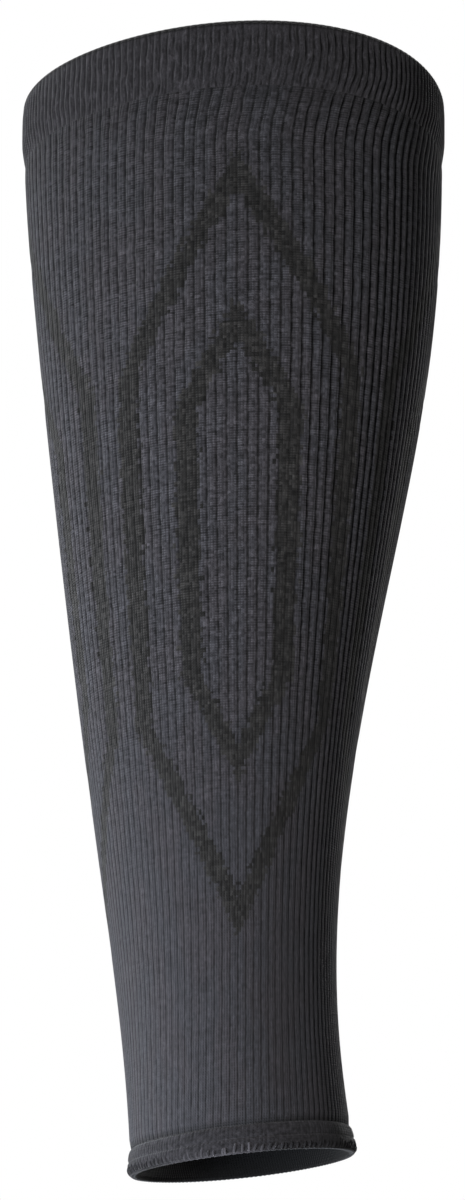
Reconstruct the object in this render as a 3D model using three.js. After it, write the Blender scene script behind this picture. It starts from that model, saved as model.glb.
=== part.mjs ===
// Compression leg warmer: a rib-knitted sleeve for the lower leg, in the form that the leg gives it.
// Units are millimetres. +Z runs up the leg, +X is to the viewer's right and -Y faces the viewer.
// The origin is the middle of the ankle opening.

import * as THREE from 'three';

// Driving dimensions
const SLEEVE_LENGTH = 300;
const CUFF_HEIGHT = 18;
const HEM_HEIGHT = 7;
const FABRIC_WALL = 1.3;
const CUFF_PROUD = 0.6; // how far the doubled cuff stands out from the sleeve
const HEM_PROUD = 1.1; // how far the turned hem stands out from the sleeve
const PIECE_GAP = 0.3; // between neighbouring pieces
const SLEEVE_EDGE_ROUND = 0.5; // height of a wall's half-round edge
const CUFF_EDGE_ROUND = 1.2;
const HEM_EDGE_ROUND = 2.2;

// Fineness of the facets
const SIDES = 64; // round the leg
const EDGE_FACETS = 4; // over one half-round edge
const SLEEVE_STEPS = 17; // along one face of a wall
const CUFF_STEPS = 3;
const HEM_STEPS = 2;

// The leg's form, one row for each section that shapes it, measured on the outside of the sleeve.
// height is up the leg, width and depth are across and front to back, right and back place the
// section's middle, and egg is the share by which the calf's side, on the right, is the fuller.
const LEG_SECTIONS = [
  { height: 0, width: 58.5, depth: 72, right: 0, back: 0, egg: 0 },
  { height: 30, width: 57.5, depth: 71, right: -3.1, back: 0, egg: 0 },
  { height: 55, width: 60, depth: 73, right: -4.9, back: 0.5, egg: 0.02 },
  { height: 85, width: 66.5, depth: 80, right: -6.2, back: 1.5, egg: 0.05 },
  { height: 120, width: 76.5, depth: 91, right: -6.2, back: 3, egg: 0.08 },
  { height: 160, width: 89.5, depth: 103, right: -5, back: 4.5, egg: 0.1 },
  { height: 200, width: 102.5, depth: 114, right: -3.2, back: 5, egg: 0.11 },
  { height: 240, width: 113, depth: 123, right: -2.1, back: 4.5, egg: 0.12 },
  { height: 280, width: 118.5, depth: 129, right: -2.6, back: 4, egg: 0.13 },
  { height: 300, width: 119, depth: 131, right: -2.6, back: 4, egg: 0.13 },
];

// Colours of the yarn: the doubled cuff is the darkest
const SLEEVE_COLOUR = 0x3f3f45;
const CUFF_COLOUR = 0x35353a;
const HEM_COLOUR = 0x434349;
const KNIT_ROUGHNESS = 0.9;

// A smooth curve through the sections, with every column read at once
const COLUMNS = ['width', 'depth', 'right', 'back', 'egg'];
const legCurve = new THREE.CubicInterpolant(
  LEG_SECTIONS.map((row) => row.height),
  LEG_SECTIONS.flatMap((row) => COLUMNS.map((column) => row[column])),
  COLUMNS.length,
);

function legAt(height) {
  const values = legCurve.evaluate(height);
  return Object.fromEntries(COLUMNS.map((column, i) => [column, values[i]]));
}

// How fast the leg's middle moves sideways as it goes up, so that sections stay square to the leg
function leanAt(height) {
  const reach = 2;
  const low = Math.max(height - reach, 0);
  const high = Math.min(height + reach, SLEEVE_LENGTH);
  const below = legAt(low);
  const above = legAt(high);
  return {
    right: (above.right - below.right) / (high - low),
    back: (above.back - below.back) / (high - low),
  };
}

// One point of a wall: `out` is measured outwards from the outside of the sleeve
function wallPoint(height, out, angle) {
  const leg = legAt(height);
  const lean = leanAt(height);
  const across = (leg.width / 2 + out) * Math.cos(angle);
  const fullness = 1 + leg.egg * Math.cos(angle);
  const along = (leg.depth / 2 * fullness + out) * Math.sin(angle);
  const lift = lean.right * across + lean.back * along;
  return new THREE.Vector3(leg.right + across, leg.back + along, height - lift);
}

// The closed outline of a wall cut through its thickness: up the outer face, over the half-round
// top edge, down the inner face and back under the half-round bottom edge
function wallOutline({ bottom, top, proud, edgeRound, steps }) {
  const middle = (proud - FABRIC_WALL) / 2;
  const half = (proud + FABRIC_WALL) / 2;
  const low = bottom + edgeRound;
  const high = top - edgeRound;
  const outline = [];
  for (let i = 0; i < steps; i++) {
    outline.push({ height: THREE.MathUtils.lerp(low, high, i / steps), out: proud });
  }
  for (let i = 0; i < EDGE_FACETS; i++) {
    const turn = (Math.PI * i) / EDGE_FACETS;
    outline.push({ height: high + edgeRound * Math.sin(turn), out: middle + half * Math.cos(turn) });
  }
  for (let i = 0; i < steps; i++) {
    outline.push({ height: THREE.MathUtils.lerp(high, low, i / steps), out: -FABRIC_WALL });
  }
  for (let i = 0; i < EDGE_FACETS; i++) {
    const turn = (Math.PI * i) / EDGE_FACETS;
    outline.push({ height: low - edgeRound * Math.sin(turn), out: middle - half * Math.cos(turn) });
  }
  return outline;
}

// Carries a wall's outline once round the leg
function wallRoundLeg(outline) {
  const positions = [];
  const faces = [];
  outline.forEach(({ height, out }, row) => {
    const nextRow = (row + 1) % outline.length;
    for (let side = 0; side < SIDES; side++) {
      const nextSide = (side + 1) % SIDES;
      positions.push(...wallPoint(height, out, (2 * Math.PI * side) / SIDES).toArray());
      const here = row * SIDES + side;
      const beside = row * SIDES + nextSide;
      const above = nextRow * SIDES + side;
      const across = nextRow * SIDES + nextSide;
      faces.push(here, beside, across, here, across, above);
    }
  });
  const geometry = new THREE.BufferGeometry();
  geometry.setAttribute('position', new THREE.Float32BufferAttribute(positions, 3));
  geometry.setIndex(faces);
  geometry.computeVertexNormals();
  return geometry;
}

function knitPiece(name, colour, wall) {
  const material = new THREE.MeshStandardMaterial({
    color: colour,
    roughness: KNIT_ROUGHNESS,
    metalness: 0,
  });
  const mesh = new THREE.Mesh(wallRoundLeg(wallOutline(wall)), material);
  mesh.name = name;
  return mesh;
}

// The doubled welt under the knee
const topCuff = knitPiece('top_cuff', CUFF_COLOUR, {
  bottom: SLEEVE_LENGTH - CUFF_HEIGHT,
  top: SLEEVE_LENGTH,
  proud: CUFF_PROUD,
  edgeRound: CUFF_EDGE_ROUND,
  steps: CUFF_STEPS,
});

// The rib-knitted tube between the cuff and the hem
const sleeveBody = knitPiece('sleeve_body', SLEEVE_COLOUR, {
  bottom: HEM_HEIGHT + PIECE_GAP,
  top: SLEEVE_LENGTH - CUFF_HEIGHT - PIECE_GAP,
  proud: 0,
  edgeRound: SLEEVE_EDGE_ROUND,
  steps: SLEEVE_STEPS,
});

// The turned hem at the ankle
const ankleHem = knitPiece('ankle_hem', HEM_COLOUR, {
  bottom: 0,
  top: HEM_HEIGHT,
  proud: HEM_PROUD,
  edgeRound: HEM_EDGE_ROUND,
  steps: HEM_STEPS,
});

const legWarmer = new THREE.Group();
legWarmer.add(topCuff, sleeveBody, ankleHem);

export default legWarmer;
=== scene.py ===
"""Looks of the compression leg warmer: a ribbed sleeve, a doubled cuff and a stitched hem.

Everything is in metres, in the CAD frame: +Z up the leg, +X to the right and -Y to the front.
"""

import math

import bpy
import numpy as np
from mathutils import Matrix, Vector
from mathutils.bvhtree import BVHTree


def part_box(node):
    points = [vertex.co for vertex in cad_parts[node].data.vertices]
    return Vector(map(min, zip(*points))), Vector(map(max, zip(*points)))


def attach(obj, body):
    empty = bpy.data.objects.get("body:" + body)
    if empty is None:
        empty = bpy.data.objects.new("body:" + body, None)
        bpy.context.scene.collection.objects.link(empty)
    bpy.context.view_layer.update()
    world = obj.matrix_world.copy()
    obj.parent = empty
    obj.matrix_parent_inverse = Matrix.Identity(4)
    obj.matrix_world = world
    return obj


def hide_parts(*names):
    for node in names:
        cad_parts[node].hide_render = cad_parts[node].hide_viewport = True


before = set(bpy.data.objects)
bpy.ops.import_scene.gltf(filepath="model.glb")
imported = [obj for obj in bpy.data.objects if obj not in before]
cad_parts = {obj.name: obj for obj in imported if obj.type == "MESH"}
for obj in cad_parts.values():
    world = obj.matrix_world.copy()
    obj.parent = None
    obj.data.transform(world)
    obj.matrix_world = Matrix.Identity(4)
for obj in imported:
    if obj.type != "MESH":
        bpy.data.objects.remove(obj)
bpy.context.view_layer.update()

MM = 0.001

# Knit: counts round the leg and the pitch up it
RIBS = 112
CUFF_RIBS = 168
WALES_PER_RIB = 3
HEM_WALES_PER_RIB = 2
COURSE = 0.68 * MM

# The ribs are closer at the front than the girth's even share at the cuff, and wider apart at the ankle
FRONT_CROWDING = {"heights": (0, 300 * MM), "shares": (-0.15, 0.17)}

# Relief of the ribs
RIB_DEPTH = {"heights": (40 * MM, 160 * MM), "shares": (0.18, 0.29)}  # of the rib's own width
CUFF_RIB_DEPTH = 0.75 * MM
INNER_RIB_DEPTH = 0.12 * MM
CROWN_RISE = 0.25  # how far a rib's back stands above the wall's face, as a share of its depth
LOOSEST = 0.5  # depth of the shallowest stretch of a groove, as a share of the full depth
# The same share makes the painted shade in the grooves stronger on the right and weaker on the left
BUNCHING_AND_GROOVE_SHADE = 0.35  # by how much grooves are deeper on the right and shallower on the left than at the front
RIB_FLATNESS = 4.0
CUFF_RIB_FLATNESS = 3.0
KNIT_SEED = 3
FLATTENED_AT_CUFF = 0.6  # share of the depth that is lost where the sleeve and the cuff meet
FLATTENED_AT_RIM = 0.7
FLATTENED_IN_LINES = 0.6
EDGE_FADE = 3 * MM  # stretch at an edge over which the ribs flatten

# Points across one rib, in ribs
RIB_CORNERS = (-0.5, -0.4, -0.26, 0.0, 0.26, 0.4)
CUFF_RIB_CORNERS = (-0.5, -0.36, -0.2, 0.0, 0.2, 0.36)
HEM_CORNERS = (-0.5, -0.25, 0.0, 0.25)
INNER_RIB_CORNERS = (-0.5, 0.0)
INNER_CUFF_CORNERS = (0.0,)

# Rows of points up a wall
SLEEVE_ROWS = 92
UNDER_CUFF = 45 * MM  # stretch of the sleeve with closer rows, where its ribs lean
UNDER_CUFF_ROWS = 27
SLEEVE_INNER_ROWS = 60
CUFF_ROWS = 38
CUFF_LOOSE_ROWS = 7  # over which the depth of a cuff's groove changes
FOLD_ROWS = 11
CUFF_INNER_ROWS = 12
ROLL_ROWS = 9
HEM_INNER_ROWS = 8
EDGE_ROW = 0.05 * MM  # between the last two rows at an edge, to keep it crisp

# Ends of the sleeve and the form of the cuff
SLEEVE_JOINT = 0.01 * MM  # clear of the hem and the cuff
PULLED_IN = 0.35 * MM  # how far the hem's seam pulls the sleeve in
PULLED_IN_REACH = 1.5 * MM
CUFF_FOLD = 1.3 * MM  # height of the folded top edge
CUFF_TAPER = 7 * MM  # over which the cuff comes out from the sleeve's face to its own

# The ribs lean to the right as they climb into the cuff, most at the front right, and waver there
LEAN_START = 266 * MM
LEAN_END = 293 * MM
LEAN_SHIFT = 8.0 * MM
LEAN_EVEN = 0.45  # share of the lean that is the same all round
LEAN_TURN = math.radians(10)
WAVER_RIBS = 0.07  # in ribs, at the cuff
WAVER_FADE = 15 * MM  # how far below the cuff it dies out
WAVER_FLOOR = 0.03  # in ribs, further down
WAVES = (
    {"around": 5, "up": 310, "phase": 0.4, "size": 0.5},
    {"around": 13, "up": -520, "phase": 2.1, "size": 0.4},
    {"around": 29, "up": 690, "phase": 4.0, "size": 0.35},
    {"around": 47, "up": -880, "phase": 1.2, "size": 0.3},
)

# Darker knitted lines: tall six-sided outlines, one inside the other, repeated round the leg
LINE_REPEATS = 4
LINE_MIDDLE = 160 * MM
LINE_WIDTH = 2.4  # in ribs
LINE_STEP = 2.0 * MM  # height of one step along a slanting line
LINE_FRAY = {"ribs": 0.7, "courses": 2.0}  # how far stitches stray, and how many courses stray together
OUTLINES = (
    {"half_width": 12.5, "half_height": 104, "slope": 4.6},  # ribs, millimetres, millimetres a rib
    {"half_width": 6.2, "half_height": 64, "slope": 4.6},
)

# The outside of the hem is two rolls. Each has its lower and upper edge as shares of the hem's height, how
# far it stands out at both and how far it bulges between them, as shares of the hem's own stand.
HEM_ROLLS = (
    {"low": 0.0, "high": 0.52, "out_low": 0.42, "out_high": 0.79, "bulge": 0.37},
    {"low": 0.52, "high": 1.0, "out_low": 0.79, "out_high": 0.48, "bulge": 0.24},
)
ROLL_FLATNESS = 4.0
HEM_RIPPLES = (
    {"around": 5, "phase": 1.0, "size": 0.12 * MM},
    {"around": 11, "phase": 2.5, "size": 0.084 * MM},
    {"around": RIBS, "phase": math.pi / 2, "size": 0.05 * MM},
)

# The stitching of the hem: short strokes up from its lower edge and a thread along that edge
STITCHES = 140
STITCH_SEED = 5
STITCH_SIDES = 6
STITCH_POINTS = 6
STITCH_STARTS = (0.2, 0.8)  # in stitches
STITCH_LEANS = (-0.1, 0.6)  # in stitches
STITCH_FOOT = 0.05  # share of the hem's height
STITCH_TOPS = (0.2, 0.36)
THREAD = 0.36 * MM  # radius
STITCH_ARCH = 1.1  # how far a stroke arches out, in thread radii
STITCH_SUNK = 0.8  # how deep its ends lie in the cloth, in thread radii
EDGE_THREAD = {"low": 0.025, "high": 0.045, "sunk": 0.3, "points_a_stitch": 4}

# Bands across the bake's map, for each side of a wall
SLEEVE_MAP = {"outside": (0.0, 0.74), "inside": (0.76, 0.98)}
CUFF_MAP = {"outside": (0.0, 0.62), "fold": (0.62, 0.7), "inside": (0.72, 0.98)}
HEM_MAP = {"outside": (0.0, 0.6), "inside": (0.66, 0.92)}

# How the leg's form is read from the CAD pieces
READ_ROWS = (
    {"node": "sleeve_body", "above_bottom": 8 * MM, "below_top": 4 * MM, "rows": 30},
    {"node": "top_cuff", "above_bottom": 5 * MM, "below_top": 3 * MM, "rows": 3},
)
READ_ANGLES = 72
HARMONICS = 6
HEIGHT_DEGREE = 8
HALF_TURN_SECTORS = 16
TILT_ROUNDS = 3
FINE_STEPS = 1440
GIRTHS_READ = 12
FRONT = -np.pi / 2


def between(ends, share):
    """The value at a share of the way from the first end to the second."""
    return ends[0] + (ends[1] - ends[0]) * share


def smooth_step(low, high, value):
    t = np.clip((value - low) / (high - low), 0, 1)
    return t * t * (3 - 2 * t)


# The leg's form, read from the inside of the CAD pieces

def node_points(name):
    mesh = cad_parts[name].data
    points = np.empty(3 * len(mesh.vertices))
    mesh.vertices.foreach_get("co", points)
    return points.reshape(-1, 3)


def middle_of(name):
    low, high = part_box(name)
    return (low + high) / 2


def cad_tree():
    """A search tree over all three CAD pieces."""
    points = []
    faces = []
    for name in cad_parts:
        first = len(points)
        points.extend(map(tuple, node_points(name)))
        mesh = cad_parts[name].data
        faces.extend([first + i for i in face.vertices] for face in mesh.polygons)
    return BVHTree.FromPolygons(points, faces)


AXIS = (middle_of("ankle_hem") + middle_of("top_cuff")) / 2
CAD_TREE = cad_tree()


def angle_terms(angle):
    """1, cos, sin, cos of twice, sin of twice and so on, with the turn's slope of each."""
    terms = [np.ones_like(angle)]
    slopes = [np.zeros_like(angle)]
    for k in range(1, HARMONICS + 1):
        terms += [np.cos(k * angle), np.sin(k * angle)]
        slopes += [-k * np.sin(k * angle), k * np.cos(k * angle)]
    return terms, slopes


def heights_to_read():
    stretches = []
    for read in READ_ROWS:
        low, high = (corner.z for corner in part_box(read["node"]))
        stretches.append(np.linspace(low + read["above_bottom"], high - read["below_top"], read["rows"]))
    return np.concatenate(stretches)


def read_leg():
    """Curves over the height, one for each angle term, that give the radius of the inside about AXIS."""
    heights = heights_to_read()
    angles = np.linspace(0, 2 * np.pi, READ_ANGLES, endpoint=False)
    basis = np.stack(angle_terms(angles)[0], axis=1)
    rows = []
    for height in heights:
        start = Vector((AXIS.x, AXIS.y, height))
        reach = []
        for angle in angles:
            reach.append(CAD_TREE.ray_cast(start, Vector((math.cos(angle), math.sin(angle), 0)))[3])
        rows.append(np.linalg.lstsq(basis, np.array(reach), rcond=None)[0])
    fit = np.polynomial.Chebyshev.fit
    return [fit(heights, column, HEIGHT_DEGREE) for column in np.array(rows).T]


LEG = read_leg()
LEG_SLOPES = [curve.deriv() for curve in LEG]


def leg_radius(angle, height):
    return sum(curve(height) * term for curve, term in zip(LEG, angle_terms(angle)[0]))


def leg_normal(angle, height):
    """The radius and the outward normal of the leg's form."""
    terms, slopes = angle_terms(angle)
    radius = sum(curve(height) * term for curve, term in zip(LEG, terms))
    turn = sum(curve(height) * slope for curve, slope in zip(LEG, slopes))
    rise = sum(curve(height) * term for curve, term in zip(LEG_SLOPES, terms))
    cos, sin = np.cos(angle), np.sin(angle)
    normal = np.stack([radius * cos + turn * sin, radius * sin - turn * cos, -radius * rise], axis=-1)
    return radius, normal / np.linalg.norm(normal, axis=-1, keepdims=True)


def edge_plane(name, side):
    """A piece's lower (-1) or upper (1) edge as a plane: its height on AXIS and its slopes in X and Y."""
    points = node_points(name)
    right = points[:, 0] - AXIS.x
    back = points[:, 1] - AXIS.y
    sectors = np.floor(np.arctan2(back, right) * HALF_TURN_SECTORS / np.pi)
    picked = []
    for sector in np.unique(sectors):
        members = np.flatnonzero(sectors == sector)
        picked.append(members[np.argmax(side * points[members, 2])])
    basis = np.stack([np.ones(len(picked)), right[picked], back[picked]], axis=1)
    return np.linalg.lstsq(basis, points[picked, 2], rcond=None)[0]


EDGES = np.array([
    edge_plane("ankle_hem", -1),
    edge_plane("ankle_hem", 1),
    edge_plane("top_cuff", -1),
    edge_plane("top_cuff", 1),
])
HEM_LOW, HEM_HIGH, CUFF_LOW, CUFF_HIGH = EDGES[:, 0]


def outside_of(name):
    """How far a piece's outer face stands out from the leg's form."""
    low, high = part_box(name)
    return high.x - AXIS.x - leg_radius(np.array(0.0), (low.z + high.z) / 2)


def wall_of_sleeve():
    """The sleeve's wall, measured through its middle to the right."""
    height = (HEM_HIGH + CUFF_LOW) / 2
    inner = CAD_TREE.ray_cast(Vector((AXIS.x, AXIS.y, height)), Vector((1, 0, 0)))[0]
    outer = CAD_TREE.ray_cast(Vector((1, AXIS.y, height)), Vector((-1, 0, 0)))[0]
    return outer.x - inner.x


WALL = wall_of_sleeve()
CUFF_STAND = outside_of("top_cuff")
HEM_STAND = outside_of("ankle_hem")


def tilted(height, angle):
    """The height of a course that keeps to the slope of the edges, at one angle."""
    slope_x = np.interp(height, EDGES[:, 0], EDGES[:, 1])
    slope_y = np.interp(height, EDGES[:, 0], EDGES[:, 2])
    level = height
    for _ in range(TILT_ROUNDS):
        radius = leg_radius(angle, level)
        level = height + slope_x * radius * np.cos(angle) + slope_y * radius * np.sin(angle)
    return level


def girth_angles(height, shares):
    """The angles at shares of the way round a course, and its girth. Share 0.5 is the front, and 0 and 1
    are the back. The steps are even along the course, apart from the crowding at the front."""
    angle = FRONT + np.linspace(-np.pi, np.pi, FINE_STEPS + 1)
    level = tilted(height, angle)
    radius = leg_radius(angle, level)
    points = np.stack([radius * np.cos(angle), radius * np.sin(angle), level], axis=1)
    length = np.concatenate([[0], np.cumsum(np.linalg.norm(np.diff(points, axis=0), axis=1))])
    girth = length[-1]
    length -= np.interp(FRONT, angle, length)
    turns = np.concatenate([angle[:-1] - 2 * np.pi, angle, angle[1:] + 2 * np.pi])
    lengths = np.concatenate([length[:-1] - girth, length, length[1:] + girth])
    crowding = np.interp(height, FRONT_CROWDING["heights"], FRONT_CROWDING["shares"])
    away = shares - 0.5
    away = away - crowding * np.sin(2 * np.pi * away) / (2 * np.pi)
    return np.interp(away * girth, lengths, turns), girth


def leg_points(height, shares, out):
    """Points on one course, `out` from the leg's form."""
    angle, _ = girth_angles(height, shares)
    level = tilted(height, angle)
    radius, normal = leg_normal(angle, level)
    base = np.stack([AXIS.x + radius * np.cos(angle), AXIS.y + radius * np.sin(angle), level], axis=1)
    return base + normal * np.reshape(out, (-1, 1))


def girth_at(height):
    return girth_angles(height, np.array([0.5]))[1]


def course_at(height):
    """The number of courses from the hem's lower edge up to a height."""
    return (height - HEM_LOW) / COURSE


# The run of the ribs

def rib_shift(height, ribs):
    """How far, in ribs, the ribs at one height lie to the right of an even run."""
    turn = 2 * np.pi * (ribs / RIBS - 0.5)
    lean = LEAN_SHIFT * (LEAN_EVEN + (1 - LEAN_EVEN) * np.sin(turn + LEAN_TURN)) / girth_at(height) * RIBS
    lean = lean * smooth_step(LEAN_START, LEAN_END, height)
    size = between((WAVER_FLOOR, WAVER_RIBS), smooth_step(CUFF_LOW - WAVER_FADE, CUFF_LOW, height))
    waver = 0
    for wave in WAVES:
        phase = 2 * np.pi * wave["around"] * ribs / RIBS + wave["up"] * height + wave["phase"]
        waver = waver + wave["size"] * np.sin(phase)
    return lean + size * waver


def line_strength(ribs, height):
    """1 in a darker knitted line and 0 outside it."""
    repeat = RIBS / LINE_REPEATS
    across = np.abs((ribs + repeat / 2) % repeat - repeat / 2)
    up = abs(height - LINE_MIDDLE) / MM
    strength = np.zeros_like(across)
    for outline in OUTLINES:
        edge = np.minimum(outline["half_width"], (outline["half_height"] - up) / outline["slope"])
        inside = across - edge
        strength = np.maximum(strength, (inside < 0) & (inside > -LINE_WIDTH))
    return strength


def rib_places(count, corners):
    """Places round the leg, in the count's own ribs, of every point of every rib."""
    return (np.arange(count)[:, None] + np.array(corners)[None, :] + 0.5).ravel()


def crown_of(across, flatness):
    """1 on the back of a rib or roll and 0 at its sides, for a place across it from -0.5 to 0.5."""
    return 1 - np.abs(2 * across) ** flatness


def bunching(ribs):
    """How deep the grooves are at a place round the leg, where those at the front and back are 1."""
    return 1 + BUNCHING_AND_GROOVE_SHADE * np.sin(2 * np.pi * (ribs / RIBS - 0.5))


def unevenness(rows, grooves, step):
    """How deep each groove is in each row, from LOOSEST to 1, changing every `step` rows."""
    knots = np.random.default_rng(KNIT_SEED).uniform(LOOSEST, 1.0, (rows // step + 2, grooves))
    low, share = np.divmod(np.arange(rows) / step, 1)
    low = low.astype(int)
    share = share[:, None]
    return knots[low] * (1 - share) + knots[low + 1] * share


# Closed walls of rows of points

def new_piece(name, mesh):
    mesh.polygons.foreach_set("use_smooth", [True] * len(mesh.polygons))
    piece = bpy.data.objects.new(name, mesh)
    bpy.context.scene.collection.objects.link(piece)
    return piece


def knit_row(height, ribs, out, place, inside=0.0):
    """One row of a wall: its points, their knit coordinates, its place across the bake's map and its
    side, which is 1 towards the leg."""
    shares = (ribs + rib_shift(height, ribs)) / RIBS
    return {
        "points": leg_points(height, shares, out),
        "ribs": ribs,
        "course": course_at(height),
        "place": place,
        "inside": inside,
    }


def row_corners(row, start, place, columns):
    """The point, knit and bake coordinates at some columns of a row. The one past the last is the first."""
    count = len(row["points"])
    for i in columns:
        wrap = RIBS if i == count else 0
        yield start + i % count, (row["ribs"][i % count] + wrap, row["course"]), (i / count, place)


def wall_mesh(name, rows):
    """Joins rows that run round the leg, each to the next and the last to the first. Where one row has more
    points than its neighbour, a face takes in several of them."""
    points = np.concatenate([row["points"] for row in rows])
    starts = np.cumsum([0] + [len(row["points"]) for row in rows])
    faces = []
    knit = []
    spread = []
    for r, low in enumerate(rows):
        above = (r + 1) % len(rows)
        high = rows[above]
        high_place = high["place"] if above else 1.0
        count = min(len(low["points"]), len(high["points"]))
        low_step = len(low["points"]) // count
        high_step = len(high["points"]) // count
        for i in range(count):
            low_columns = range(i * low_step, (i + 1) * low_step + 1)
            high_columns = range((i + 1) * high_step, i * high_step - 1, -1)
            loop = [
                *row_corners(low, starts[r], low["place"], low_columns),
                *row_corners(high, starts[above], high_place, high_columns),
            ]
            faces.append([corner[0] for corner in loop])
            knit.extend(corner[1] for corner in loop)
            spread.extend(corner[2] for corner in loop)
    mesh = bpy.data.meshes.new(name)
    mesh.from_pydata(points.tolist(), [], faces)
    for layer, values in (("Knit", knit), ("OFBake", spread)):
        mesh.uv_layers.new(name=layer).data.foreach_set("uv", np.array(values, np.float32).ravel())
    inside = np.concatenate([np.full(len(row["points"]), row["inside"]) for row in rows])
    mesh.attributes.new("inside", "FLOAT", "POINT").data.foreach_set("value", inside)
    return new_piece(name, mesh)


def sleeve_rows():
    ribs = rib_places(RIBS, RIB_CORNERS)
    crown = crown_of((ribs % 1) - 0.5, RIB_FLATNESS)
    low, high = HEM_HIGH + SLEEVE_JOINT, CUFF_LOW - SLEEVE_JOINT
    bend = high - UNDER_CUFF
    heights = np.concatenate([
        np.linspace(low, bend, SLEEVE_ROWS)[:-1],
        np.linspace(bend, high - EDGE_ROW, UNDER_CUFF_ROWS),
        [high],
    ])
    uneven = unevenness(len(heights), RIBS, 1)
    nearest = np.round(ribs).astype(int) % RIBS
    rows = []
    for row, height in enumerate(heights):
        fade = 1 - FLATTENED_AT_CUFF * smooth_step(high - EDGE_FADE, high, height)
        share = np.interp(height, RIB_DEPTH["heights"], RIB_DEPTH["shares"])
        depth = fade * share * girth_at(height) / RIBS
        depth = depth * (1 - FLATTENED_IN_LINES * line_strength(ribs, height))
        relief = depth * (CROWN_RISE - bunching(ribs) * uneven[row, nearest] * (1 - crown))
        pulled_in = PULLED_IN * (1 - smooth_step(low, low + PULLED_IN_REACH, height))
        place = between(SLEEVE_MAP["outside"], (height - low) / (high - low))
        rows.append(knit_row(height, ribs, WALL + relief - pulled_in, place))
    inner_ribs = rib_places(RIBS, INNER_RIB_CORNERS)
    inner_out = INNER_RIB_DEPTH * (1 - crown_of((inner_ribs % 1) - 0.5, 1))
    for height in np.linspace(high, low, SLEEVE_INNER_ROWS):
        place = between(SLEEVE_MAP["inside"], (high - height) / (high - low))
        rows.append(knit_row(height, inner_ribs, inner_out, place, 1.0))
    return rows


def cuff_rows():
    body_ribs = RIBS / CUFF_RIBS  # in one rib of the cuff
    places = rib_places(CUFF_RIBS, CUFF_RIB_CORNERS)
    ribs = places * body_ribs
    crown = crown_of((places % 1) - 0.5, CUFF_RIB_FLATNESS)
    high = CUFF_HIGH - CUFF_FOLD
    heights = np.concatenate([[CUFF_LOW], np.linspace(CUFF_LOW + EDGE_ROW, high, CUFF_ROWS)])
    uneven = unevenness(len(heights), CUFF_RIBS, CUFF_LOOSE_ROWS)
    nearest = np.round(places).astype(int) % CUFF_RIBS
    rows = []
    for row, height in enumerate(heights):
        stand = between((WALL, CUFF_STAND), smooth_step(CUFF_LOW, CUFF_LOW + CUFF_TAPER, height))
        fade = 1 - FLATTENED_AT_CUFF * (1 - smooth_step(CUFF_LOW, CUFF_LOW + EDGE_FADE, height))
        fade = fade * (1 - FLATTENED_AT_RIM * smooth_step(high - EDGE_FADE, high, height))
        depth = fade * CUFF_RIB_DEPTH
        relief = depth * (CROWN_RISE - bunching(ribs) * uneven[row, nearest] * (1 - crown))
        place = between(CUFF_MAP["outside"], (height - CUFF_LOW) / (high - CUFF_LOW))
        rows.append(knit_row(height, ribs, stand + relief, place))
    half = CUFF_STAND / 2
    for turn in np.linspace(0, np.pi, FOLD_ROWS)[1:-1]:
        out = half + half * np.cos(turn) + relief * np.cos(turn / 2) ** 2
        place = between(CUFF_MAP["fold"], turn / np.pi)
        rows.append(knit_row(high + CUFF_FOLD * np.sin(turn), ribs, out, place))
    inner_ribs = rib_places(CUFF_RIBS, INNER_CUFF_CORNERS) * body_ribs
    for height in np.linspace(high, CUFF_LOW, CUFF_INNER_ROWS):
        place = between(CUFF_MAP["inside"], (high - height) / (high - CUFF_LOW))
        rows.append(knit_row(height, inner_ribs, np.zeros(len(inner_ribs)), place, 1.0))
    return rows


def hem_out(up):
    """How far the hem's outside stands out at a share of its height."""
    roll = next(roll for roll in HEM_ROLLS if up <= roll["high"])
    across = (up - roll["low"]) / (roll["high"] - roll["low"])
    edge = between((roll["out_low"], roll["out_high"]), across)
    return HEM_STAND * (edge + roll["bulge"] * crown_of(across - 0.5, ROLL_FLATNESS))


def hem_height(up):
    return between((HEM_LOW, HEM_HIGH), up)


def hem_levels():
    """Shares of the hem's height from its lower to its upper edge, closest where the rolls turn in."""
    levels = [0.0]
    for roll in HEM_ROLLS:
        for turn in np.linspace(0, np.pi, ROLL_ROWS + 1)[1:]:
            levels.append(between((roll["low"], roll["high"]), (1 - math.cos(turn)) / 2))
    return levels


def hem_rows():
    ribs = rib_places(RIBS, HEM_CORNERS)
    turn = 2 * np.pi * ribs / RIBS
    ripple = sum(wave["size"] * np.sin(wave["around"] * turn + wave["phase"]) for wave in HEM_RIPPLES)
    levels = hem_levels()
    rows = []
    for i, up in enumerate(levels):
        place = between(HEM_MAP["outside"], i / (len(levels) - 1))
        rows.append(knit_row(hem_height(up), ribs, hem_out(up) + ripple, place))
    for up in np.linspace(1.0, 0.0, HEM_INNER_ROWS):
        place = between(HEM_MAP["inside"], 1 - up)
        rows.append(knit_row(hem_height(up), ribs, np.zeros(len(ribs)), place, 1.0))
    return rows


# The stitching of the hem

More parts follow.
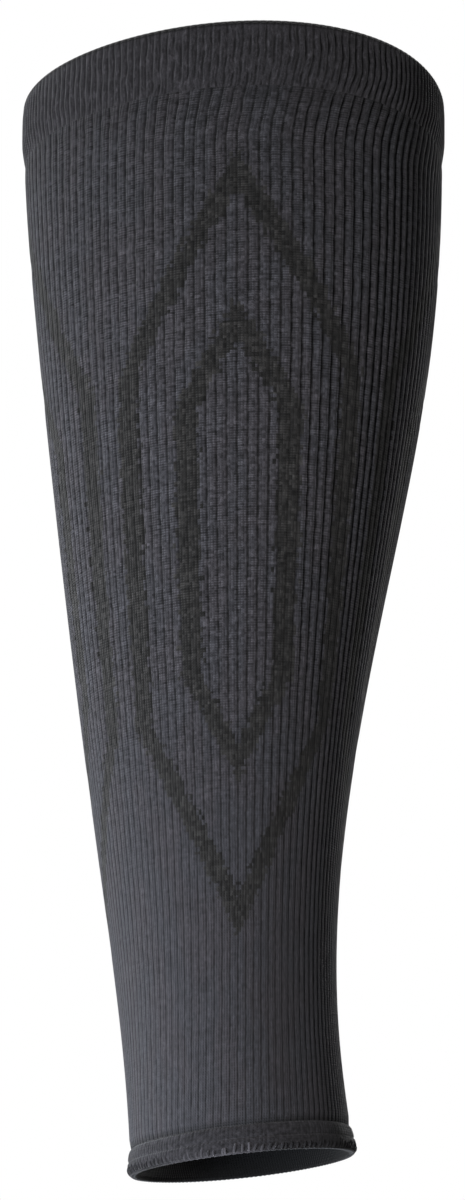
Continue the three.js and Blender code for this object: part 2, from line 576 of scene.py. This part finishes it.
def tube_mesh(name, paths):
    """Closed threads along paths of points. A path that ends where it starts is a loop."""
    points = []
    faces = []
    turns = np.linspace(0, 2 * np.pi, STITCH_SIDES + 1)[:-1]
    for path in paths:
        is_loop = np.allclose(path[0], path[-1])
        if is_loop:
            path = path[:-1]
            run = np.roll(path, -1, axis=0) - np.roll(path, 1, axis=0)
        else:
            run = np.gradient(path, axis=0)
        run /= np.linalg.norm(run, axis=1, keepdims=True)
        outward = (path - np.array(AXIS)) * (1, 1, 0)
        side = np.cross(outward, run)
        side /= np.linalg.norm(side, axis=1, keepdims=True)
        rise = np.cross(run, side)
        ring = np.cos(turns)[None, :, None] * side[:, None] + np.sin(turns)[None, :, None] * rise[:, None]
        count = len(path)
        numbers = (len(points) + np.arange(count * STITCH_SIDES).reshape(count, STITCH_SIDES)).tolist()
        points.extend((path[:, None] + THREAD * ring).reshape(-1, 3).tolist())
        for i in range(count if is_loop else count - 1):
            low, high = numbers[i], numbers[(i + 1) % count]
            for j in range(STITCH_SIDES):
                k = (j + 1) % STITCH_SIDES
                faces.append((low[j], low[k], high[k], high[j]))
        if not is_loop:
            faces.append(numbers[0][::-1])
            faces.append(numbers[-1])
    mesh = bpy.data.meshes.new(name)
    mesh.from_pydata(points, [], faces)
    return new_piece(name, mesh)


def edge_points(up, around):
    """Points round the hem at a share of its height, for the thread along its lower edge."""
    return leg_points(hem_height(up), around, hem_out(up) - EDGE_THREAD["sunk"] * THREAD)


def stitch_paths():
    draw = np.random.default_rng(STITCH_SEED)
    strokes = []
    for stitch in range(STITCHES):
        start = stitch + draw.uniform(*STITCH_STARTS)
        lean = draw.uniform(*STITCH_LEANS)
        top = draw.uniform(*STITCH_TOPS)
        stroke = []
        for level in np.linspace(0, 1, STITCH_POINTS):
            up = between((STITCH_FOOT, top), level)
            out = hem_out(up) + THREAD * (STITCH_ARCH * math.sin(math.pi * level) - STITCH_SUNK)
            stroke.append(leg_points(hem_height(up), np.array([start + lean * level]) / STITCHES, out)[0])
        strokes.append(np.array(stroke))
    around = np.linspace(0, 1, EDGE_THREAD["points_a_stitch"] * STITCHES + 1)
    sway = 0.5 + 0.5 * np.cos(2 * np.pi * STITCHES * around)[:, None]
    ends = edge_points(EDGE_THREAD["low"], around), edge_points(EDGE_THREAD["high"], around)
    return strokes + [between(ends, sway)]


# Yarn: its colours and its even shine
YARN = (0.066, 0.062, 0.071)
COOL_YARN = (0.063, 0.062, 0.072)
LINE_YARN = (0.0315, 0.030, 0.0295)
YARN_SHINE = {
    "Roughness": 0.85,
    "Diffuse_Roughness": 1.0,
    "Sheen_Weight": 0.2,
    "Sheen_Roughness": 0.5,
    "Specular_IOR_Level": 0.25,
}

# Tones scale the yarn's colour. Where two are given, the first is at the ankle and the second at the calf.
COARSE_HEIGHTS = (HEM_LOW + 60 * MM, HEM_LOW + 150 * MM)  # between the ankle's look and the calf's
SLEEVE_TONE = 1.11
# Painted shade in the grooves between the ribs: the groove tones darken them, more on the right than on the
# left
SLEEVE_GROOVE_PAINTED_SHADE = (0.56, 0.28)
SLEEVE_GROOVE_WIDTH = 0.2  # in ribs
FAINTEST_GROOVE_SHADE = 0.35  # strength of a groove where it breaks off
GROOVE_SHADE_IN_LINES = 0.4
CUFF_TONE = 0.65
# Painted shade in the grooves between the cuff's ribs
CUFF_GROOVE_PAINTED_SHADE = 0.4
CUFF_GROOVE_WIDTH = 0.27
CUFF_SPLIT_TONE = 0.55
CUFF_SPLIT_WIDTH = 0.2
CUFF_LIGHT_TONE = 1.6
GROOVE_FLOOR = 0.3  # share of a groove's width that has its full tone

# Shades up the leg: the tone's share at each of two heights. The seam, rim and inside shares are painted
# shade.
# Painted shade on the sleeve just above the proud hem, where it meets the seam
SEAM_PAINTED_SHADE = {"heights": (HEM_HIGH + 0.3 * MM, HEM_HIGH + 2.2 * MM), "shares": (0.4, 1.0)}
WELT_SHADE = {"heights": (CUFF_LOW - 100 * MM, CUFF_LOW), "shares": (1.0, 0.76)}
SLEEVE_TOP_SHADE = {"heights": (CUFF_LOW - 14 * MM, CUFF_LOW), "shares": (1.0, 0.74)}
CUFF_FOOT_SHADE = {"heights": (CUFF_LOW, CUFF_LOW + 8 * MM), "shares": (1.1, 1.0)}
# Painted shade along the top of the cuff's fold
RIM_PAINTED_SHADE = {"heights": (CUFF_HIGH - 1.8 * MM, CUFF_HIGH - 1.0 * MM), "shares": (1.0, 0.2)}
# Painted shade inside the tube, deepest near the ankle
INSIDE_PAINTED_SHADE = {"heights": (20 * MM, 90 * MM), "shares": (0.12, 0.7)}  # on the face towards the leg

NOISE_DETAIL = 2.0

# Patches as noise: features a rib and a course, and the noise at which a patch starts and is full
SLEEVE_UNBROKEN = {"across": 1.0, "up": 0.25, "start": 0.35, "full": 0.6}
SLEEVE_TICKED = {"across": 0.9, "up": 0.1, "start": 0.42, "full": 0.6}
SLEEVE_COOL = {"across": 0.3, "up": 0.03, "start": 0.4, "full": 0.6}
CUFF_UNBROKEN = {"across": 1.0, "up": 0.15, "start": 0.36, "full": 0.55}
CUFF_SPLIT = {"across": 1.1, "up": 0.2, "start": 0.48, "full": 0.6}
CUFF_LIGHT = {"across": 1.9, "up": 0.3, "start": 0.55, "full": 0.7}

# Flecks: features of noise a rib and a course, or one fleck for each rib or wale, and by how much they
# change the tone. Where two amounts are given, the first is at the ankle and the second at the calf.
SLEEVE_FLECKS = (
    {"across": 2.7, "up": 0.1, "amounts": (0.8, 0.8)},
    {"across": 4.5, "up": 0.5, "amounts": (0.9, 1.1)},
)
SLEEVE_RIB_FLECKS = (0.15, 0.5)
SLEEVE_WALE_FLECKS = (0.2, 0.7)
SLEEVE_TICKS = 0.8
LINE_FLECKS = {"courses": 2.0, "amount": 1.0}  # only in the darker lines, each some courses of one wale
CUFF_FLECKS = (
    {"across": 5.0, "up": 0.2, "amount": 1.3},
    {"across": 8.0, "up": 0.8, "amount": 1.1},
)
HEM_FLECKS = {"across": 2.0, "up": 0.6, "amount": 1.8}
HEM_WALE_FLECKS = 0.5

# Painted light on the hem and its thread: they are lightest a little to the left of the front, towards the
# lamps, and darker away from there
HEM_PAINTED_LIGHT_TURN = 0.25  # how far to the left, in radians
HEM_PAINTED_LIGHT_EDGE = 0.3  # cosine of the turn from there at which the light ends
HEM_PAINTED_LIGHT_TONES = (0.42, 0.65)  # away from the light and in it
THREAD_PAINTED_LIGHT = {"middle": -6 * MM, "full": 6 * MM, "end": 18 * MM}  # along X, and how far to both sides
THREAD_PAINTED_LIGHT_TONES = (0.4, 1.3)
THREAD_FLECKS = {"scale": 500.0, "amount": 1.8}
THREAD_FIBRES = 4000.0

# Stitches as bump
STITCH_SLANT = 0.5  # in courses, from a wale's middle to its side
STITCH_ROUNDNESS = 2.5
STITCH_WAVE = 0.6  # share of the height that comes and goes with each course
SLEEVE_BUMP = 0.16 * MM
CUFF_BUMP = 0.12 * MM
HEM_BUMP = 0.14 * MM
THREAD_BUMP = 0.05 * MM


# Node materials

class Graph:
    """Short calls that add nodes to one material."""

    def __init__(self, name):
        self.material = bpy.data.materials.new(name)
        self.material.use_nodes = True
        self.tree = self.material.node_tree
        self.tree.nodes.clear()

    def add(self, kind, **settings):
        node = self.tree.nodes.new(kind)
        for key, value in settings.items():
            setattr(node, key, value)
        return node

    def feed(self, socket, value):
        if isinstance(value, bpy.types.NodeSocket):
            self.tree.links.new(value, socket)
        else:
            socket.default_value = value

    def math(self, operation, *values):
        node = self.add("ShaderNodeMath", operation=operation)
        for socket, value in zip(node.inputs, values):
            self.feed(socket, value)
        return node.outputs[0]

    def times(self, first, *others):
        for other in others:
            first = self.math("MULTIPLY", first, other)
        return first

    def mix(self, share, low, high):
        """low where share is 0 and high where it is 1, for plain numbers."""
        return self.math("MULTIPLY_ADD", self.math("SUBTRACT", high, low), share, low)

    def ramp(self, value, low, high):
        """0 below low, 1 above high and smooth between."""
        node = self.add("ShaderNodeMapRange", interpolation_type="SMOOTHSTEP")
        for name, item in (("Value", value), ("From Min", low), ("From Max", high)):
            self.feed(node.inputs[name], item)
        return node.outputs[0]

    def vector(self, x, y):
        node = self.add("ShaderNodeCombineXYZ")
        for socket, value in zip(node.inputs, (x, y)):
            self.feed(socket, value)
        return node.outputs[0]

    def split(self, vector):
        node = self.add("ShaderNodeSeparateXYZ")
        self.feed(node.inputs[0], vector)
        return node.outputs

    def noise(self, place, scale):
        node = self.add("ShaderNodeTexNoise", noise_dimensions="2D")
        self.feed(node.inputs["Vector"], place)
        node.inputs["Scale"].default_value = scale
        node.inputs["Detail"].default_value = NOISE_DETAIL
        return node.outputs[0]

    def cell(self, x, y):
        """A random number from 0 to 1 for each whole step of x and y."""
        node = self.add("ShaderNodeTexWhiteNoise", noise_dimensions="2D")
        self.feed(node.inputs["Vector"], self.vector(self.math("FLOOR", x), self.math("FLOOR", y)))
        return node.outputs["Value"]

    def knit(self):
        """The knit coordinates: ribs round the leg and courses up it."""
        ribs, course, _ = self.split(self.add("ShaderNodeUVMap", uv_map="Knit").outputs[0])
        return ribs, course

    def climb(self, course, heights):
        """0 below the first height, 1 above the second and smooth between."""
        return self.ramp(course, *(course_at(height) for height in heights))

    def shade(self, course, heights, shares):
        """The first share below the first height and the second above the second."""
        return self.mix(self.climb(course, heights), *shares)

    # Painted shade on the face towards the leg
    def painted_shade_inside(self, tone, course):
        inside = self.add("ShaderNodeAttribute", attribute_name="inside").outputs["Fac"]
        return self.times(tone, self.mix(inside, 1.0, self.shade(course, **INSIDE_PAINTED_SHADE)))

    def blend(self, share, low, high):
        """The colour low where share is 0 and high where it is 1."""
        node = self.add("ShaderNodeMix", data_type="VECTOR")
        self.feed(node.inputs["Factor"], share)
        vectors = [socket for socket in node.inputs if socket.type == "VECTOR"]
        self.feed(vectors[-2], low)
        self.feed(vectors[-1], high)
        return next(socket for socket in node.outputs if socket.type == "VECTOR")

    def finish(self, tone, colour, height, bump, **shine):
        """tone scales the yarn's colour, height drives the bump and shine has the shader's even values."""
        scale = self.add("ShaderNodeVectorMath", operation="SCALE")
        self.feed(scale.inputs[0], colour)
        self.feed(scale.inputs["Scale"], tone)
        shader = self.add("ShaderNodeBsdfPrincipled")
        self.feed(shader.inputs["Base Color"], scale.outputs[0])
        for name, value in shine.items():
            shader.inputs[name.replace("_", " ")].default_value = value
        relief = self.add("ShaderNodeBump")
        relief.inputs["Strength"].default_value = 1.0
        relief.inputs["Distance"].default_value = bump
        self.feed(relief.inputs["Height"], height)
        self.feed(shader.inputs["Normal"], relief.outputs[0])
        output = self.add("ShaderNodeOutputMaterial")
        self.feed(output.inputs["Surface"], shader.outputs[0])
        return self.material


def stitches(graph, wale, course):
    """Height of plain knit: one V for each wale and course."""
    offset = graph.math("SUBTRACT", graph.math("FRACT", wale), 0.5)
    side = graph.times(graph.math("ABSOLUTE", offset), 2.0)
    slanted = graph.math("MULTIPLY_ADD", side, STITCH_SLANT, course)
    row = graph.math("COSINE", graph.times(slanted, 2 * math.pi))
    row = graph.math("MULTIPLY_ADD", row, 0.5, 0.5)
    legs = graph.math("SUBTRACT", 1.0, graph.math("POWER", side, STITCH_ROUNDNESS))
    return graph.times(legs, graph.math("MULTIPLY_ADD", row, STITCH_WAVE, 1 - STITCH_WAVE))


def knitted_lines(graph, ribs, course):
    """1 in a darker knitted line and 0 outside it, in whole stitches."""
    repeat = RIBS / LINE_REPEATS
    place = graph.math("MODULO", graph.math("ADD", ribs, repeat / 2), repeat)
    place = graph.math("FLOOR", graph.times(place, WALES_PER_RIB))
    place = graph.math("DIVIDE", graph.math("ADD", place, 0.5), WALES_PER_RIB)
    across = graph.math("ABSOLUTE", graph.math("SUBTRACT", place, repeat / 2))
    up = graph.math("SUBTRACT", course, course_at(LINE_MIDDLE))
    up = graph.math("FLOOR", graph.math("DIVIDE", up, LINE_STEP / COURSE))
    up = graph.math("ABSOLUTE", graph.math("ADD", up, 0.5))
    up = graph.times(up, LINE_STEP / MM)
    fray = graph.cell(graph.times(ribs, WALES_PER_RIB), graph.math("DIVIDE", course, LINE_FRAY["courses"]))
    fray = graph.times(graph.math("SUBTRACT", fray, 0.5), LINE_FRAY["ribs"])
    lines = 0.0
    for outline in OUTLINES:
        edge = graph.math("DIVIDE", graph.math("SUBTRACT", outline["half_height"], up), outline["slope"])
        edge = graph.math("MINIMUM", edge, outline["half_width"])
        inside = graph.math("ADD", graph.math("SUBTRACT", edge, across), fray)
        past_edge = graph.math("GREATER_THAN", inside, 0.0)
        band = graph.times(past_edge, graph.math("LESS_THAN", inside, LINE_WIDTH))
        lines = graph.math("MAXIMUM", band, lines)
    return lines


def groove_of(graph, ribs, width):
    """1 in the groove between two ribs, falling to 0 at `width` ribs from it."""
    fraction = graph.math("FRACT", ribs)
    nearest = graph.math("MINIMUM", fraction, graph.math("SUBTRACT", 1.0, fraction))
    return graph.math("SUBTRACT", 1.0, graph.ramp(nearest, GROOVE_FLOOR * width, width))


def bunching_and_groove_shade(graph, ribs):
    """The same as bunching, as nodes. Here it makes the painted shade in the grooves stronger on the right
    and weaker on the left.
    """
    turn = graph.math("MULTIPLY_ADD", ribs, 2 * math.pi / RIBS, -math.pi)
    return graph.math("MULTIPLY_ADD", graph.math("SINE", turn), BUNCHING_AND_GROOVE_SHADE, 1.0)


def stretched_noise(graph, ribs, course, across, up):
    """Noise from 0 to 1 with `across` features a rib and `up` a course."""
    return graph.noise(graph.vector(graph.times(ribs, across), graph.times(course, up)), 1.0)


def patches(graph, ribs, course, across, up, start, full):
    """1 in patches of stretched noise and 0 between them."""
    return graph.ramp(stretched_noise(graph, ribs, course, across, up), start, full)


def varied(graph, tone, noise, amount):
    """The tone made lighter and darker by noise about its middle."""
    change = graph.math("MULTIPLY_ADD", graph.math("SUBTRACT", noise, 0.5), amount, 1.0)
    return graph.times(tone, change)


def sleeve_groove_shade(graph, ribs, course, lines):
    """How strong the painted shade in the groove is at each place: it breaks off here and there, is faint
    in the lines and stronger on the right.
    """
    groove = groove_of(graph, ribs, SLEEVE_GROOVE_WIDTH)
    unbroken = patches(graph, ribs, course, **SLEEVE_UNBROKEN)
    strength = graph.mix(unbroken, FAINTEST_GROOVE_SHADE, 1.0)
    return graph.times(groove, strength, graph.mix(lines, 1.0, GROOVE_SHADE_IN_LINES), bunching_and_groove_shade(graph, ribs))


def sleeve_ticks(graph, ribs, course, coarse):
    """Noise that shows single courses, in patches of the coarse knit."""
    ticks = graph.math("COSINE", graph.times(course, 2 * math.pi))
    ticks = graph.times(ticks, patches(graph, ribs, course, **SLEEVE_TICKED), coarse)
    return graph.math("MULTIPLY_ADD", ticks, 0.5, 0.5)


def sleeve_knit():
    graph = Graph("ribbed_knit")
    ribs, course = graph.knit()
    wale = graph.times(ribs, WALES_PER_RIB)
    lines = knitted_lines(graph, ribs, course)
    coarse = graph.climb(course, COARSE_HEIGHTS)
    tone = SLEEVE_TONE
    for flecks in SLEEVE_FLECKS:
        noise = stretched_noise(graph, ribs, course, flecks["across"], flecks["up"])
        tone = varied(graph, tone, noise, graph.mix(coarse, *flecks["amounts"]))
    tone = varied(graph, tone, graph.cell(ribs, course), graph.mix(coarse, *SLEEVE_RIB_FLECKS))
    tone = varied(graph, tone, graph.cell(wale, course), graph.mix(coarse, *SLEEVE_WALE_FLECKS))
    tone = varied(graph, tone, sleeve_ticks(graph, ribs, course, coarse), SLEEVE_TICKS)
    pairs = graph.cell(wale, graph.math("DIVIDE", course, LINE_FLECKS["courses"]))
    tone = varied(graph, tone, pairs, graph.mix(lines, 0.0, LINE_FLECKS["amount"]))
    # Painted shade in the grooves between the ribs, stronger on the right
    groove = sleeve_groove_shade(graph, ribs, course, lines)
    tone = graph.times(tone, graph.mix(groove, 1.0, graph.mix(coarse, *SLEEVE_GROOVE_PAINTED_SHADE)))
    # The seam's share is painted shade; the others darken the sleeve towards the cuff
    for shade in (SEAM_PAINTED_SHADE, WELT_SHADE, SLEEVE_TOP_SHADE):
        tone = graph.times(tone, graph.shade(course, **shade))
    # Painted shade on the face towards the leg
    tone = graph.painted_shade_inside(tone, course)
    ground = graph.blend(patches(graph, ribs, course, **SLEEVE_COOL), YARN, COOL_YARN)
    colour = graph.blend(lines, ground, LINE_YARN)
    return graph.finish(tone, colour, stitches(graph, wale, course), SLEEVE_BUMP, **YARN_SHINE)


def cuff_knit():
    graph = Graph("fine_ribbed_knit")
    ribs, course = graph.knit()
    fine = graph.times(ribs, CUFF_RIBS / RIBS)
    # Painted shade in the grooves between the cuff's ribs, stronger on the right
    groove = groove_of(graph, fine, CUFF_GROOVE_WIDTH)
    groove = graph.times(groove, patches(graph, fine, course, **CUFF_UNBROKEN), bunching_and_groove_shade(graph, ribs))
    split = groove_of(graph, graph.math("ADD", fine, 0.5), CUFF_SPLIT_WIDTH)
    split = graph.times(split, patches(graph, fine, course, **CUFF_SPLIT))
    light = patches(graph, fine, course, **CUFF_LIGHT)
    tone = CUFF_TONE
    for flecks in CUFF_FLECKS:
        noise = stretched_noise(graph, ribs, course, flecks["across"], flecks["up"])
        tone = varied(graph, tone, noise, flecks["amount"])
    for mark, share in ((light, CUFF_LIGHT_TONE), (groove, CUFF_GROOVE_PAINTED_SHADE), (split, CUFF_SPLIT_TONE)):
        tone = graph.times(tone, graph.mix(mark, 1.0, share))
    # The rim's share is painted shade along the top of the fold
    for shade in (CUFF_FOOT_SHADE, RIM_PAINTED_SHADE):
        tone = graph.times(tone, graph.shade(course, **shade))
    # Painted shade on the face towards the leg
    tone = graph.painted_shade_inside(tone, course)
    return graph.finish(tone, YARN, stitches(graph, fine, course), CUFF_BUMP, **YARN_SHINE)


def hem_knit():
    graph = Graph("plain_knit")
    ribs, course = graph.knit()
    wale = graph.times(ribs, HEM_WALES_PER_RIB)
    # Painted light: the hem is lighter a little to the left of the front and darker away from there
    turn = graph.math("MULTIPLY_ADD", ribs, 2 * math.pi / RIBS, HEM_PAINTED_LIGHT_TURN - math.pi)
    light = graph.ramp(graph.math("COSINE", turn), HEM_PAINTED_LIGHT_EDGE, 1.0)
    noise = stretched_noise(graph, ribs, course, HEM_FLECKS["across"], HEM_FLECKS["up"])
    tone = varied(graph, graph.mix(light, *HEM_PAINTED_LIGHT_TONES), noise, HEM_FLECKS["amount"])
    tone = varied(graph, tone, graph.cell(wale, course), HEM_WALE_FLECKS)
    # Painted shade on the face towards the leg
    tone = graph.painted_shade_inside(tone, course)
    return graph.finish(tone, YARN, stitches(graph, wale, course), HEM_BUMP, **YARN_SHINE)


def hem_thread():
    graph = Graph("sewing_thread")
    place = graph.add("ShaderNodeTexCoord").outputs["Object"]
    right = graph.split(place)[0]
    # Painted light: the thread is lightest over a band of X a little to the left of the middle
    away = graph.math("ABSOLUTE", graph.math("SUBTRACT", right, THREAD_PAINTED_LIGHT["middle"]))
    light = graph.math("SUBTRACT", 1.0, graph.ramp(away, THREAD_PAINTED_LIGHT["full"], THREAD_PAINTED_LIGHT["end"]))
    flecks = graph.noise(place, THREAD_FLECKS["scale"])
    tone = varied(graph, graph.mix(light, *THREAD_PAINTED_LIGHT_TONES), flecks, THREAD_FLECKS["amount"])
    return graph.finish(tone, YARN, graph.noise(place, THREAD_FIBRES), THREAD_BUMP, **YARN_SHINE)


# The pieces

def stand_for(piece, node, material):
    """Gives a piece its material and puts it in the place of a CAD node."""
    piece.data.materials.append(material)
    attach(piece, "root")
    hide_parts(node)
    return piece


sleeve = stand_for(wall_mesh("knit_sleeve", sleeve_rows()), "sleeve_body", sleeve_knit())
cuff = stand_for(wall_mesh("knit_cuff", cuff_rows()), "top_cuff", cuff_knit())
hem = stand_for(wall_mesh("knit_hem", hem_rows()), "ankle_hem", hem_knit())
stitching = stand_for(tube_mesh("hem_stitching", stitch_paths()), "ankle_hem", hem_thread())

girths = [girth_at(height) for height in np.linspace(HEM_HIGH, CUFF_LOW, GIRTHS_READ)]


# Stage, light and camera

FLOOR_REACH = 10.0
FLOOR_LEVEL = -0.3
FLOOR_COLOUR = (0.88, 0.88, 0.88, 1)
ROOM_LIGHT = 0.12  # of the white room's light that falls on the sleeve
WHITE = (1.0, 1.0, 1.0)
COOL = (0.8, 0.89, 1.0)
LAMPS = (  # degrees to the left of the front and up, metres away and across, watts
    {"name": "front", "turn": 27, "rise": -10, "reach": 1.2, "size": 0.2, "power": 7.3, "colour": WHITE},
    {"name": "ankle", "turn": 60, "rise": -45, "reach": 0.45, "size": 0.15, "power": 1.1, "colour": COOL},
    {"name": "right", "turn": -150, "rise": 0, "reach": 1.2, "size": 0.4, "power": 1.6, "colour": WHITE},
    {"name": "back", "turn": -165, "rise": 5, "reach": 1.5, "size": 0.8, "power": 12.0, "colour": WHITE},
    {"name": "top", "turn": 180, "rise": 85, "reach": 1.2, "size": 0.3, "power": 10.0, "colour": WHITE},
)
CAMERA_TARGET = Vector((-2.85 * MM, 0, 154.75 * MM))
CAMERA_REACH = 1.0
CAMERA_RISE = math.radians(-14.3)
CAMERA_LENS = 108.8  # millimetres, as is the sensor
CAMERA_SENSOR = 36


def floor():
    """A pale floor that only the camera sees."""
    mesh = bpy.data.meshes.new("floor")
    corners = []
    for x, y in ((-1, -1), (1, -1), (1, 1), (-1, 1)):
        corners.append((x * FLOOR_REACH, y * FLOOR_REACH, FLOOR_LEVEL))
    mesh.from_pydata(corners, [], [range(len(corners))])
    piece = bpy.data.objects.new("floor", mesh)
    bpy.context.scene.collection.objects.link(piece)
    pale = bpy.data.materials.new("pale_floor")
    pale.use_nodes = True
    surface = pale.node_tree.nodes["Principled BSDF"].inputs
    surface["Base Color"].default_value = (0, 0, 0, 1)
    surface["Specular IOR Level"].default_value = 0
    surface["Emission Color"].default_value = FLOOR_COLOUR
    surface["Emission Strength"].default_value = 1
    mesh.materials.append(pale)
    piece.visible_diffuse = False
    piece.visible_glossy = False
    piece.visible_shadow = False


def white_room():
    """White to the camera, and a weak even light on the sleeve."""
    world = bpy.data.worlds.new("white_room")
    world.use_nodes = True
    tree = world.node_tree
    background = tree.nodes["Background"]
    background.inputs["Color"].default_value = (1, 1, 1, 1)
    seen = tree.nodes.new("ShaderNodeLightPath")
    strength = tree.nodes.new("ShaderNodeMapRange")
    strength.inputs["To Min"].default_value = ROOM_LIGHT
    strength.inputs["To Max"].default_value = 1.0
    tree.links.new(seen.outputs["Is Camera Ray"], strength.inputs["Value"])
    tree.links.new(strength.outputs[0], background.inputs["Strength"])
    bpy.context.scene.world = world


def emitter(name, turn, rise, reach, size, power, colour):
    """A square lamp aimed at the middle of the leg."""
    middle = Vector((AXIS.x, AXIS.y, (HEM_LOW + CUFF_HIGH) / 2))
    turn, rise = math.radians(turn), math.radians(rise)
    way = Vector((-math.sin(turn) * math.cos(rise), -math.cos(turn) * math.cos(rise), math.sin(rise)))
    light = bpy.data.lights.new(name, "AREA")
    light.size = size
    light.energy = power
    light.color = colour
    lamp = bpy.data.objects.new(name, light)
    lamp.location = middle + reach * way
    lamp.rotation_euler = (-way).to_track_quat("-Z", "Y").to_euler()
    lamp.visible_camera = False
    bpy.context.scene.collection.objects.link(lamp)


def camera():
    lens = bpy.data.cameras.new("camera")
    lens.sensor_width = CAMERA_SENSOR
    lens.lens = CAMERA_LENS
    eye = bpy.data.objects.new("camera", lens)
    eye.location = CAMERA_TARGET + CAMERA_REACH * Vector((0, -math.cos(CAMERA_RISE), math.sin(CAMERA_RISE)))
    eye.rotation_euler = (CAMERA_TARGET - eye.location).to_track_quat("-Z", "Y").to_euler()
    bpy.context.scene.collection.objects.link(eye)
    bpy.context.scene.camera = eye


floor()
white_room()
for lamp_settings in LAMPS:
    emitter(**lamp_settings)
camera()
bpy.context.scene.view_settings.view_transform = "Standard"
